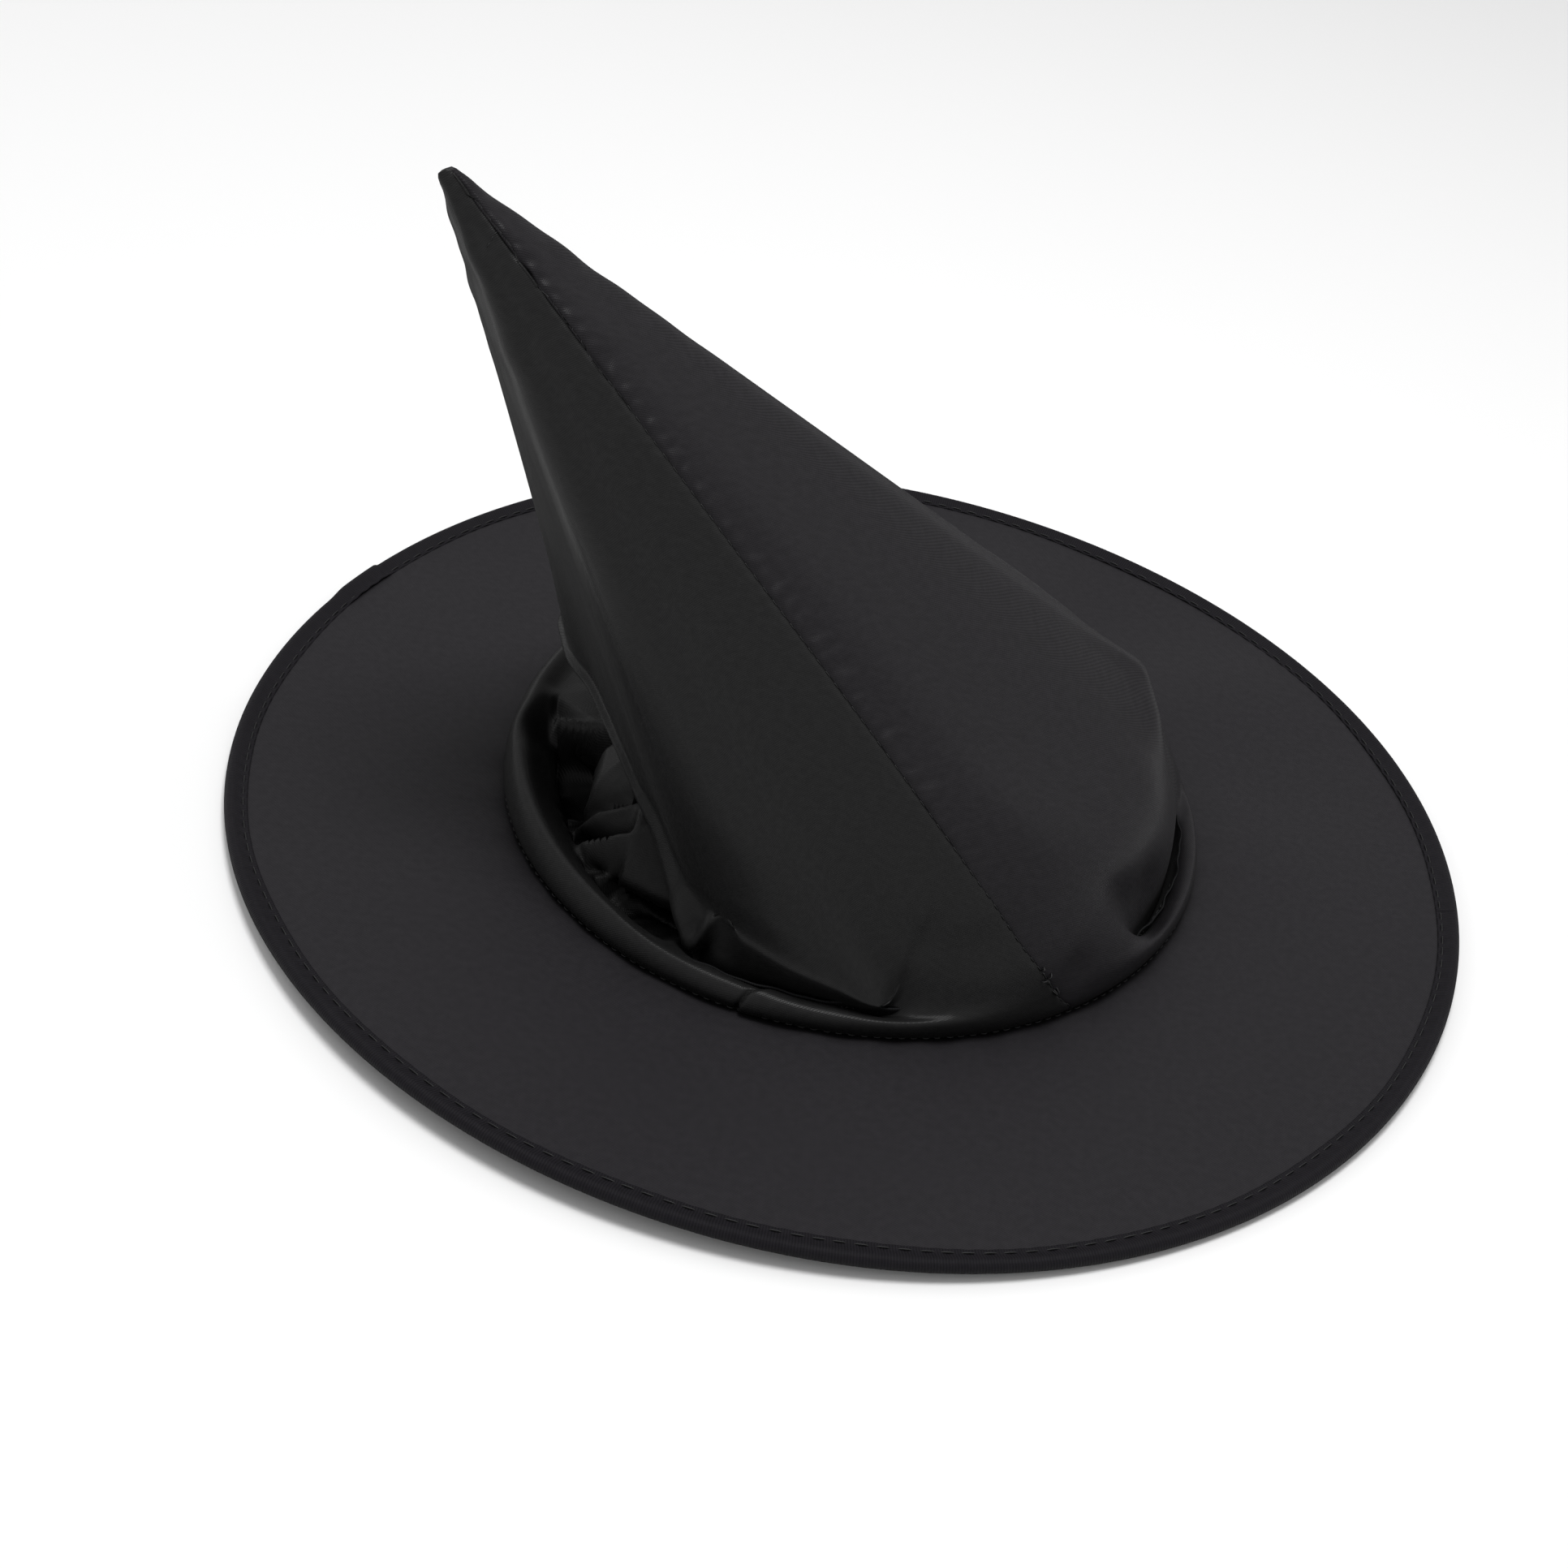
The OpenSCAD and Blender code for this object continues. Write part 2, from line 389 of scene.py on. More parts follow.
def plain_material(name, colour, rough, metal=0.0, grain=900.0, bump=0.08):
    """Thread or metal: one colour broken by fine grain along object space."""
    m = bpy.data.materials.new(name)
    m.use_nodes = True
    add, join, remap = node_tools(m)
    shader = m.node_tree.nodes["Principled BSDF"]
    shader.inputs["Metallic"].default_value = metal
    place = add("ShaderNodeTexCoord")
    noise = add("ShaderNodeTexNoise", Scale=grain, Detail=3.0)
    join(place, "Object", noise, "Vector")
    mix = add("ShaderNodeMix", data_type="RGBA")
    mix.inputs[MIX_COLOUR_A].default_value = (*[c * 0.75 for c in colour], 1)
    mix.inputs[MIX_COLOUR_B].default_value = (*[min(1, c * 1.25) for c in colour], 1)
    join(noise, "Fac", mix, MIX_FACTOR)
    join(mix, MIX_COLOUR_OUT, shader, "Base Color")
    gloss = remap(noise, "Fac", 0.0, 1.0, rough - 0.06, rough + 0.06)
    join(gloss, "Result", shader, "Roughness")
    relief = add("ShaderNodeBump", Strength=bump, Distance=0.0001)
    join(noise, "Fac", relief, "Height")
    join(relief, "Normal", shader, "Normal")
    return m


left_cloth = cloth_material("crown_satin_left", (0.0106, 0.0105, 0.0107), (0.0206, 0.0206, 0.0207),
                            0.33, 0.0006, 40, gloss_level=0.12)
right_cloth = cloth_material("crown_satin_right", (0.0110, 0.0103, 0.0116), (0.0220, 0.0207, 0.0230),
                             0.36, 0.0006, 40, gloss_level=0.09)
brim_cloth = cloth_material("brim_satin", (0.0140, 0.0131, 0.0150), (0.0250, 0.0236, 0.0264),
                            0.48, 0.0005, 45)
tape_cloth = cloth_material("binding_tape", (0.0060, 0.0055, 0.0070), (0.0120, 0.0108, 0.0135),
                            0.62, 0.0008, 0, bump=0.5, ribs=True)
band_cloth = cloth_material("band_tape", (0.0070, 0.0070, 0.0077), (0.0120, 0.0120, 0.0130),
                            0.65, 0.0007, 0, bump=0.4, ribs=True)
thread_mat = plain_material("sewing_thread", (0.0040, 0.0040, 0.0046), 0.6, grain=2500.0)
steel_mat = plain_material("spring_steel", (0.42, 0.43, 0.45), 0.32, 1.0)
ferrule_mat = plain_material("ferrule_metal", (0.60, 0.61, 0.63), 0.4, 1.0)


def finish_piece(obj, material, body="root"):
    """Gives a piece its material and, where a body is given, its body."""
    obj.data.materials.clear()
    obj.data.materials.append(material)
    if body:
        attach(obj, body)
    return obj


# ---------------------------------------------------------------- brim

def rim_mid_z(angle):
    """Height of the hoop's middle: a sprung hoop never lies quite flat."""
    a = np.radians(angle)
    wave = (-1.8 * np.cos(2 * a) + 2.0 * np.sin(2 * a) + 2.6 * np.cos(3 * a)) * 0.55
    return rim_h / 2 + 2.8 + wave


def brim_z(angle, r):
    """Height of the brim cloth's middle: drawn taut between the head opening and the hoop."""
    share = np.clip((r - opening_r) / (hoop_r - opening_r), 0, 1)
    a = np.radians(angle)
    soft = 2.2 * bump_at(turn_between(angle, 42), 0, 11) - 1.6 * bump_at(turn_between(angle, 60), 0, 13)
    soft = soft - 1.3 * bump_at(turn_between(angle, 20), 0, 12) + 0.5 * np.sin(5 * a + 1)
    soft = soft + 0.6 * bump_at(turn_between(angle, 215), 0, 20)
    near = 0.35 * np.sin(38 * a + 2 * np.sin(5 * a)) * np.exp(-(r - opening_r) / 9.0)
    return (seam_z - 0.6) * (1 - share) + rim_mid_z(angle) * share \
        + soft * np.sin(math.pi * share) ** 1.2 + near


def make_brim():
    """The brim's two discs of cloth, each sewn in at the head opening and bound at the rim."""
    angles = round_angles(360)
    gap = 0.35            # from the middle of the brim to each disc
    radii = np.concatenate([np.linspace(opening_r + 0.3, 124, 16), np.linspace(126, rim_r - 5.2, 30)])
    pieces = []
    for name, node, lift, flip in (("brim_top", "brim_top_fabric", gap, False),
                                   ("brim_underside", "brim_under_fabric", -gap, True)):
        a, r = np.meshgrid(angles, radii)
        grid = polar(a, r, brim_z(a, r) + lift)
        uv = grid[..., :2].reshape(-1, 2) * MM
        obj = mesh_object(name, grid.reshape(-1, 3), grid_faces(len(radii), len(angles), True, flip), uv)
        thicken(obj, cloth_t)
        finish_piece(obj, brim_cloth)
        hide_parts(node)
        pieces.append(obj)
    return pieces


def make_hoop():
    """The hoop's wire, which follows the rim, and the crimped tube that joins its ends."""
    sides, steps = 12, 360
    angles = round_angles(steps)
    ring = []
    for k in range(sides):
        w = 2 * math.pi * k / sides
        ring.append(polar(angles, hoop_r + hoop_wire_r * math.cos(w),
                          rim_mid_z(angles) + hoop_wire_r * math.sin(w)))
    faces = []
    for j in range(sides):
        here, there = j * steps, (j + 1) % sides * steps
        for i in range(steps):
            k = (i + 1) % steps
            faces.append((here + i, there + i, there + k, here + k))
    hoop = mesh_object("hoop_wire", np.array(ring).reshape(-1, 3), faces)
    finish_piece(hoop, steel_mat)
    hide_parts("spring_hoop")

    ferrule_r = 1.5
    along = np.linspace(-3.2, 3.2, 33)          # degrees either side of the joint
    crimp = 1.0 - 0.12 * np.maximum(bump_at(along, -1.6, 0.35), bump_at(along, 1.6, 0.35))
    around = np.linspace(0, 2 * math.pi, 17)[:-1]
    section = []
    for turn, narrow in zip(along, crimp):
        a, r = lap_at - 3 + turn, ferrule_r * narrow
        section.append([polar(a, hoop_r + r * math.cos(w), rim_mid_z(a) + r * math.sin(w)) for w in around])
    ferrule = mesh_object("hoop_ferrule_tube", np.array(section).reshape(-1, 3),
                          grid_faces(len(along), len(around), True))
    thicken(ferrule, 0.35)
    finish_piece(ferrule, ferrule_mat)
    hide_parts("hoop_ferrule")


STITCH_PITCH = 5.6
BINDING_STITCH_R = rim_r - tape_w + 1.3


def binding_profile():
    """Radius and height of the tape's outer face, from its upper edge round the hoop to its lower."""
    arc = np.radians(np.linspace(118, -118, 15))
    top = [(rim_r - tape_w, 1.0), (rim_r - tape_w + 0.5, 1.15), (rim_r - tape_w + 1.3, 1.15),
           (rim_r - tape_w + 2.3, 1.3)]
    bulge = [(hoop_r + 2.1 * math.cos(w), 2.15 * math.sin(w)) for w in arc]
    low = [(r, -z) for r, z in top[::-1]]
    return np.array(top + bulge + low)


def binding_drift(turn):
    """How far the tape's inner edge and its stitches wander."""
    return 0.25 * np.sin(np.radians(turn * 7)) + 0.18 * np.sin(np.radians(turn * 17 + 40))


def make_binding():
    """The tape round the rim, drawn down at each stitch and lapped at its ends, and its stitches."""
    count = int(round(2 * math.pi * BINDING_STITCH_R / STITCH_PITCH))
    lap_rise, stitch_h = 0.7, 1.02
    angles = round_angles(count * 6)
    profile = binding_profile()
    reach = np.concatenate([[0], np.cumsum(np.linalg.norm(np.diff(profile, axis=0), axis=1))])
    a = angles[None, :]
    r, z = profile[:, :1], profile[:, 1:]
    phase = np.cos(np.radians(a * count))
    near = np.exp(-((r - BINDING_STITCH_R) / 1.1) ** 2)
    drift = binding_drift(a)
    side = np.sign(z) * np.clip(np.abs(z), 0, 1)
    flat = np.clip((hoop_r - r) / 4, 0, 1)
    z = z + side * near * (-0.28 + 0.16 * phase) + side * 0.10 * phase * flat
    r = r - drift * flat + 0.05 * phase * flat
    past = turn_between(a, lap_at)
    lap = smoothstep(past, -3.0, -2.7) * (1 - smoothstep(past, 2.0, 5.0))
    facing = np.radians(np.linspace(90, -90, len(profile)))
    out = np.stack([np.cos(facing), np.sin(facing)], 1)
    r = r + lap_rise * lap * out[:, :1]
    z = z + lap_rise * lap * out[:, 1:]
    grid = polar(a, r, z + rim_mid_z(a))
    uv = np.stack(np.broadcast_arrays(np.radians(a) * rim_r * MM, reach[:, None] * MM), -1).reshape(-1, 2)
    faces = grid_faces(len(profile), len(angles), True, True)
    obj = mesh_object("rim_binding", grid.reshape(-1, 3), faces, uv)
    thicken(obj, tape_t)
    finish_piece(obj, tape_cloth)
    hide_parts("edge_binding")

    turn = np.linspace(0, 360, count * 6 + 1)
    up = np.tile([0.0, 0.0, 1.0], (len(turn), 1))
    sewn_r = BINDING_STITCH_R - binding_drift(turn)
    top = polar(turn, sewn_r, rim_mid_z(turn) + stitch_h)
    low = polar(turn, sewn_r, rim_mid_z(turn) - stitch_h)
    upper = stitches("binding_stitches_top", top, up, STITCH_PITCH, 0.2, fill=0.8, lift=0.1)
    lower = stitches("binding_stitches_under", low, -up, STITCH_PITCH, 0.2, fill=0.8, lift=0.1)
    for piece in (upper, lower):
        finish_piece(piece, thread_mat)
    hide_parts("binding_thread")
    return obj, [upper, lower]


brim_top, brim_under = make_brim()
make_hoop()
binding, binding_threads = make_binding()


# ---------------------------------------------------------------- crown

tip = np.array([-131.0, -33.0, 203.5])

# Direction at the brim; radius and height of the collar's crest, its inner edge, the foot of the
# cloth inside the fold and the cloth under the bulge; how far the lip stands out from the ridge and
# hangs below it; direction, radius and height of the ridge, where the straight cone begins
FOLD_TABLE = [
    (-48, 107.5, 14.0, 106.0, 23.0, 102.5, 33, 97.0, 44, 4.0, 7.0, -69.5, 88.0, 58.0),
    (-36, 107.5, 14.0, 105.5, 21.0, 102.0, 31, 97.0, 43, 4.0, 7.0, -54, 88.5, 57.0),
    (-28, 107.5, 14.0, 105.0, 17.0, 101.5, 25, 98.0, 36.0, 4.0, 8.0, -43, 91.0, 51.0),
    (-22, 107.0, 14.0, 103.5, 13.0, 100.5, 11, 98.5, 27.0, 4.0, 9.0, -34, 92.5, 47.0),
    (-15, 106.5, 14.0, 102.5, 12.5, 99.0, 5, 99.0, 26.0, 4.0, 10.0, -24, 92.5, 46.0),
    (-5, 106.0, 14.0, 101.5, 12.5, 99.0, 4, 99.0, 26.0, 4.0, 10.0, -13, 91.0, 49.0),
    (4, 106.0, 13.5, 101.5, 12.5, 99.5, 6, 98.0, 27.0, 3.0, 10.0, -4, 87.5, 54.5),
    (10, 106.3, 13.0, 102.5, 13.0, 99.0, 13, 95.5, 33.0, 1.2, 6.0, 4, 83.0, 61.0),
    (15, 106.5, 13.0, 103.5, 15.0, 99.5, 22, 90.5, 42, 0.8, 3.0, 9, 80.0, 65.5),
    (21, 107.0, 13.0, 104.5, 18.0, 98.5, 28, 88.0, 44, 1.5, 3.5, 15, 79.5, 62.5),
    (32, 107.0, 13.0, 104.5, 20.0, 98.5, 31, 89.0, 43, 3.0, 5.0, 25, 79.0, 57.0),
    (52, 107.5, 13.0, 105.0, 20.0, 100.0, 31, 91.0, 43, 4.0, 6.0, 42, 80.0, 53.5),
    (90, 107.5, 13.0, 105.5, 21.0, 101.5, 32, 94.0, 43, 4.0, 7.0, 80, 85.0, 53.5),
    (131, 107.0, 16.0, 103.0, 21.0, 98.0, 24, 92.0, 33, 4.5, 6.0, 118, 88.0, 51.0),
    (152, 103.5, 22.0, 97.0, 19.0, 82.0, 16, 72.0, 28, 3.0, 5.0, 142, 88.5, 48.0),
    (166, 102.0, 23.0, 95.0, 21.0, 68.0, 28, 56.0, 38, 1.5, 3.0, 160, 93.0, 46.0),
    (176, 102.5, 22.5, 95.0, 21.0, 62.0, 33, 54.0, 39, 0.6, 3.0, 171, 99.0, 45.0),
    (181, 103.0, 21.5, 94.5, 20.5, 60.0, 33, 52.0, 39, 0.6, 3.5, 176, 95.5, 44.5),
    (185, 104.5, 19.5, 92.8, 14.0, 60.0, 33, 52.0, 39, 0.8, 3.5, 181, 92.0, 44.0),
    (194, 103.5, 19.0, 92.3, 13.0, 60.0, 33, 52.0, 39, 1.2, 3.0, 190, 84.0, 43.5),
    (204, 103.0, 18.5, 92.2, 12.5, 59.0, 33, 52.0, 38, 1.5, 3.0, 200, 80.0, 42.0),
    (214, 103.0, 18.0, 92.6, 12.0, 58.0, 32, 52.0, 36, 1.5, 3.0, 211, 79.0, 40.0),
    (224, 103.0, 17.0, 96.5, 12.5, 58.0, 29, 54.0, 32, 1.5, 4.0, 220, 79.5, 36.5),
    (233, 103.5, 16.0, 98.0, 12.0, 60.0, 25, 58.0, 28, 2.0, 7.0, 230, 81.0, 33.0),
    (240, 104.5, 15.0, 99.5, 12.0, 68.0, 19, 67.0, 23, 3.5, 9.0, 238, 85.5, 29.0),
    (246, 105.0, 14.0, 100.0, 12.5, 88.0, 5, 85.0, 10, 5.5, 11.5, 244, 90.0, 26.5),
    (250, 105.0, 13.7, 101.0, 12.4, 95.5, 6, 92.0, 9, 5.0, 14.0, 248, 92.3, 25.7),
    (252, 105.0, 13.5, 101.0, 12.5, 98.0, 6, 95.0, 13, 1.5, 3.0, 250, 93.5, 25.2),
    (259, 105.0, 13.0, 102.0, 12.3, 99.5, 6, 97.5, 12, 1.0, 2.0, 257, 97.5, 25.0),
    (267, 106.0, 12.5, 102.6, 11.8, 100.0, 6, 99.5, 11, 1.0, 2.0, 265, 101.0, 23.5),
    (275, 106.5, 12.0, 102.8, 11.8, 100.0, 7, 100.5, 11, 1.0, 1.8, 273, 102.5, 20.5),
    (281, 107.0, 12.0, 104.3, 11.3, 101.5, 9, 102.0, 12, 0.5, 1.2, 279, 104.0, 16.5),
    (285, 107.0, 12.0, 104.5, 11.5, 102.5, 11, 101.5, 13, 0.5, 1.0, 281.5, 102.5, 16.0),
    (290, 107.3, 12.5, 105.0, 13.0, 102.0, 17, 100.0, 22, 1.0, 4.0, 283, 98.0, 29.0),
    (297, 107.5, 13.0, 105.3, 16.5, 102.0, 25, 98.5, 33, 2.0, 5.0, 285, 94.0, 41.0),
    (304, 107.5, 14.0, 105.8, 20.0, 102.5, 30, 98.0, 40, 3.0, 6.0, 288, 90.0, 52.0),
]
LOW_COUNTS = (4, 6, 8, 44, 8, 14, 8, 6)     # rows from the seam to just above the ridge
CONE_ROWS = 170
PANEL_COLS = 180


def panel_angles():
    """Directions of the columns at the brim, crowded at both seams and in the open side of the fold."""
    panels = []
    for start in (front_seam, front_seam + 180):
        fine = start + np.linspace(0, 180, 1801)
        spacing = 1.3 - 0.95 * (bump_at(fine, start, 2.5) + bump_at(fine, start + 180, 2.5)) \
            - 0.6 * smoothstep(fine, 168, 176) * (1 - smoothstep(fine, 264, 272)) \
            - 0.4 * bump_at(fine, 260, 3.5)
        total = np.concatenate([[0], np.cumsum(1 / spacing[1:])])
        panels.append(np.interp(np.arange(PANEL_COLS) / PANEL_COLS * total[-1], total, fine))
    return np.concatenate(panels)


def crown_controls(angles):
    """Control points of every column from the base seam to just above the ridge."""
    t = round_table([(*row[:11], turn_between(row[11], row[0]), *row[12:]) for row in FOLD_TABLE], angles)
    crest_r, crest_z, in_r, in_z, foot_r, foot_z, under_r, under_z, out, down, turn, ridge_r, ridge_z = t.T
    seam = polar(angles, seam_r, seam_z)
    roll = polar(angles, seam_r + 2.0, seam_z + 3.5)
    crest = polar(angles + 0.13 * turn, crest_r, crest_z)
    inner = polar(angles + 0.28 * turn, in_r, in_z)
    foot = polar(angles + 0.47 * turn, foot_r, foot_z)
    under = polar(angles + 0.67 * turn, under_r, under_z)
    lip = polar(angles + 0.84 * turn, ridge_r + out, ridge_z - down)
    ridge = polar(angles + turn, ridge_r, ridge_z)
    above = ridge + 0.05 * (tip - ridge)
    return np.array([seam, roll, crest, inner, foot, under, lip, ridge, above])


def cone_rows(start, angles):
    """The straight part of the crown, from the row start to a blunt tip."""
    side = np.array([0.80, 0.25, 0.55])
    deep = np.array([0.1, 0.95, -0.3])
    a = np.radians(angles)[:, None]
    end = tip + 2.6 * np.cos(a) * side + 1.5 * np.sin(a) * deep
    share = (np.arange(1, CONE_ROWS + 1) / CONE_ROWS) ** 0.94
    weight = bump_at(turn_between(angles[:, None], angles[None, :]), 0, 7) * np.gradient(np.unwrap(a[:, 0]))
    even = weight @ start / weight.sum(1, keepdims=True)
    rows = [even * (1 - s) + end * s + (start - even) * math.exp(-s / 0.085) for s in share]
    middle = end.mean(0)
    up = np.array([-0.6, -0.1, 0.79])
    rows.append(middle + 0.75 * (end - middle) + 1.0 * up)
    rows.append(middle + 0.25 * (end - middle) + 1.4 * up)
    return np.array(rows)


angles = panel_angles()
low_part = through(crown_controls(angles), LOW_COUNTS)

# Ridges and valleys of the crumpled cloth inside the fold, as points x, y, z. Each list is one crease.
CREASES = [
    [(-103, -1.5, 21.5), (-92, -8, 22.5), (-80, -13, 26)],
    [(-91, -12, 7), (-84, -14.5, 7), (-79, -17, 9)],
    [(-90, -17, 2), (-87, -24, 2), (-85, -31, 2), (-82.5, -39, 3)],
    [(-80, -20, 4), (-79, -29, 3), (-79, -37, 4), (-79, -44, 6)],
    [(-75, -26, 27), (-75, -38.5, 24), (-62, -46, 30), (-68.5, -35, 31), (-75, -26, 27)],
    [(-75, -43, 13), (-61.5, -46.8, 24)],
    [(-60.7, -52.6, 22.5), (-68, -50.5, 19), (-72, -48, 20.5), (-61, -48, 27)],
    [(-83, -46, 4), (-76, -51, 7), (-68, -53.8, 10), (-60.8, -55, 15)],
    [(-77, -57.5, 13), (-73, -57.5, 17.5), (-68, -58, 20.5), (-60.4, -58.5, 24)],
    [(-72, -63.5, 8.5), (-62, -65, 13)],
    [(-59.6, -52, 30), (-60, -60, 24.5), (-61, -68.5, 14.5), (-51.8, -72.4, 15.5), (-42.3, -76, 16)],
    [(-65, -71, 2), (-52, -77, 1.5), (-43, -81.5, 1.5)],
    [(-66, -20, 33), (-60, -36, 34), (-50, -50, 32), (-43, -62, 27)],
]


def crumple(grid, angles, first, last):
    """Folds the surplus cloth inside the bulge: flat facets between creases, with soft edges.

    first and last are the rows of the collar's inner edge and of the foot."""
    turn = angles % 360
    open_side = (turn > 160) & (turn < 250)
    edge = [tuple(p) for row in (first, last) for p in grid[row, open_side][::5]]
    points, edges = list(edge), []
    for crease in CREASES:
        for p in crease:
            if p not in points:
                points.append(p)
        edges += [(points.index(p), points.index(q)) for p, q in zip(crease, crease[1:])]
    points = np.array(points, float)
    corners = [Vector(p[:2]) for p in points]
    flat, _, faces, sources, _, _ = delaunay_2d_cdt(corners, edges, [], 0, 1e-4)
    height = np.array([points[source[0], 2] if source else np.nan for source in sources])
    flat = np.array([tuple(v) for v in flat])
    part = grid[first:last + 1]
    soft = 0.45           # how far round each point the facets are averaged
    spots = [(0.0, 0.0)] + [(soft * math.cos(w), soft * math.sin(w)) for w in np.arange(6) * math.pi / 3]
    total = np.zeros(part.shape[:2])
    for dx, dy in spots:
        x, y = part[..., 0] + dx, part[..., 1] + dy
        z = part[..., 2].copy()
        for face in faces:
            (x0, y0), (x1, y1), (x2, y2) = flat[list(face)]
            h0, h1, h2 = height[list(face)]
            area = (x1 - x0) * (y2 - y0) - (x2 - x0) * (y1 - y0)
            if abs(area) < 1e-6 or np.isnan(h0 + h1 + h2):
                continue
            u = ((x - x0) * (y2 - y0) - (x2 - x0) * (y - y0)) / area
            v = ((x1 - x0) * (y - y0) - (x - x0) * (y1 - y0)) / area
            inside = (u >= -1e-6) & (v >= -1e-6) & (u + v <= 1 + 1e-6)
            z = np.where(inside, h0 + u * (h1 - h0) + v * (h2 - h0), z)
        total += z / len(spots)
    share = smoothstep(turn, 168, 174) * (1 - smoothstep(turn, 241, 246))
    grid[first:last + 1, :, 2] += share * (total - part[..., 2])
    return grid


low_part = crumple(low_part, angles, sum(LOW_COUNTS[:3]), sum(LOW_COUNTS[:4]))
low_part[..., 2] = np.maximum(low_part[..., 2], 1.2)


def undercut(grid, angles, first, last):
    """Pulls the low walls of the pit in under the crumpled cloth and under the collar."""
    part = grid[first + 2:last]
    turn = angles % 360
    r = np.hypot(part[..., 0], part[..., 1])
    middle = 90 + 5.5 * smoothstep(turn, 195, 225)
    in_pit = smoothstep(turn, 182, 190) * (1 - smoothstep(turn, 241, 245))
    deep = smoothstep(13 - part[..., 2], 0, 7) * in_pit
    inward = smoothstep(middle - r, 0, 2) * (1 - smoothstep(middle - r, 8, 16))
    outward = smoothstep(r - middle, 0, 2)
    r_new = np.minimum(r + deep * (2.5 * outward - 8.5 * inward), np.maximum(r, 99.0))
    part[..., :2] *= (r_new / r)[..., None]


def relax(grid, angles):
    """Rounds the shoulder where the cloth stands free, and leaves the fold and the ear sharp."""
    base = sum(LOW_COUNTS)
    row = np.arange(len(grid))[:, None]
    foot = sum(LOW_COUNTS[:4])
    rows = smoothstep(row, foot + 1, foot + 8) * (1 - smoothstep(row, base + 20, base + 45))
    turn = turn_between(angles, 0)
    front = smoothstep(turn, -60, -48) * (1 - smoothstep(turn, -1, 8))
    back = smoothstep(turn, 24, 38) * (1 - smoothstep(turn, 140, 158))
    share = rows * (front + back)[None, :]
    for _ in range(60):
        middle = (grid[:-2] + grid[2:]) / 2
        grid[1:-1] += 0.5 * share[1:-1, :, None] * (middle - grid[1:-1])
    return grid


undercut(low_part, angles, sum(LOW_COUNTS[:3]), sum(LOW_COUNTS[:4]))
crown = relax(np.concatenate([low_part, cone_rows(low_part[-1], angles)]), angles)


def dent(grid, normals, place, size, depth):
    """Presses a round hollow, or raises a bump where depth is negative."""
    near = np.exp(-(np.linalg.norm(grid - np.array(place), axis=-1) / size) ** 2)
    return -depth * near[..., None] * normals


def crease(grid, normals, start, end, width, height):
    """Raises a sharp fold along a line, or sinks one where height is negative."""
    start, end = np.array(start, float), np.array(end, float)
    run = end - start
    s = np.clip(((grid - start) @ run) / (run @ run), 0, 1)
    gap = np.linalg.norm(grid - start - s[..., None] * run, axis=-1)
    ends = smoothstep(s, -0.05, 0.2) * (1 - smoothstep(s, 0.8, 1.05))
    return (height * ends * np.maximum(0, 1 - gap / width) ** 1.5)[..., None] * normals


def seam_distance(grid, seam):
    """Distance of every point from the seam at column seam, measured along its row, and its side."""
    k = (np.arange(grid.shape[1]) - seam + PANEL_COLS) % (2 * PANEL_COLS) - PANEL_COLS
    across = np.roll(grid, -seam, 1)
    step = np.linalg.norm(np.roll(across, -1, 1) - across, axis=-1)
    ahead = np.concatenate([np.zeros((len(grid), 1)), np.cumsum(step[:, :PANEL_COLS - 1], 1)], 1)
    behind = np.concatenate([np.zeros((len(grid), 1)), np.cumsum(step[:, ::-1][:, :PANEL_COLS], 1)], 1)
    return np.where(k >= 0, ahead[:, np.maximum(k, 0)], behind[:, np.maximum(-k, 0) % (PANEL_COLS + 1)]), k


def pucker(grid):
    """Draws the cloth in along both seams: a fine groove with short, uneven tufts beside it."""
    n = normals_of(grid)
    base = sum(LOW_COUNTS)
    row = np.arange(len(grid))[:, None]
    along = np.concatenate([np.zeros((1, grid.shape[1])),
                            np.cumsum(np.linalg.norm(np.diff(grid, axis=0), axis=-1), 0)])
    out = grid.copy()
    for seam, strength in ((0, 1.0), (PANEL_COLS, 0.45)):
        dist, k = seam_distance(grid, seam)
        t = along[:, [seam]]
        fade = smoothstep(row, base - 26, base + 10) * (1 - smoothstep(row, len(grid) - 14, len(grid) - 3))
        d = -0.5 * np.exp(-(dist / 0.8) ** 2) * np.minimum(1, 0.3 + fade)
        for side, reach in ((1, 0.50), (-1, 0.14)):
            at = 20.0
            beside = (np.sign(k) == side)[None, :] * fade
            while at < t[-1, 0]:
                high = smoothstep(at, 120, 200)
                size = reach * RNG.uniform(0.35, 1.0) * (1.0 - 0.15 * high)
                tuft_length = RNG.uniform(5.0, 10.0) * (1 - 0.3 * high)
                wide = RNG.uniform(1.0, 1.7)
                u = (t - at - RNG.uniform(0.1, 0.8) * dist) / wide
                tuft = (np.exp(-u ** 2) - 0.7 * np.exp(-(u - 1.7) ** 2)) * np.exp(-(dist / tuft_length) ** 4)
                d = d + size * tuft * smoothstep(dist, 0.0, 1.2) * beside
                at += RNG.uniform(3.8, 6.5)
            d = d + 0.18 * reach * bump_at(dist, 2.6, 2.0) * beside
        out = out + n * (strength * d)[..., None]
    return out


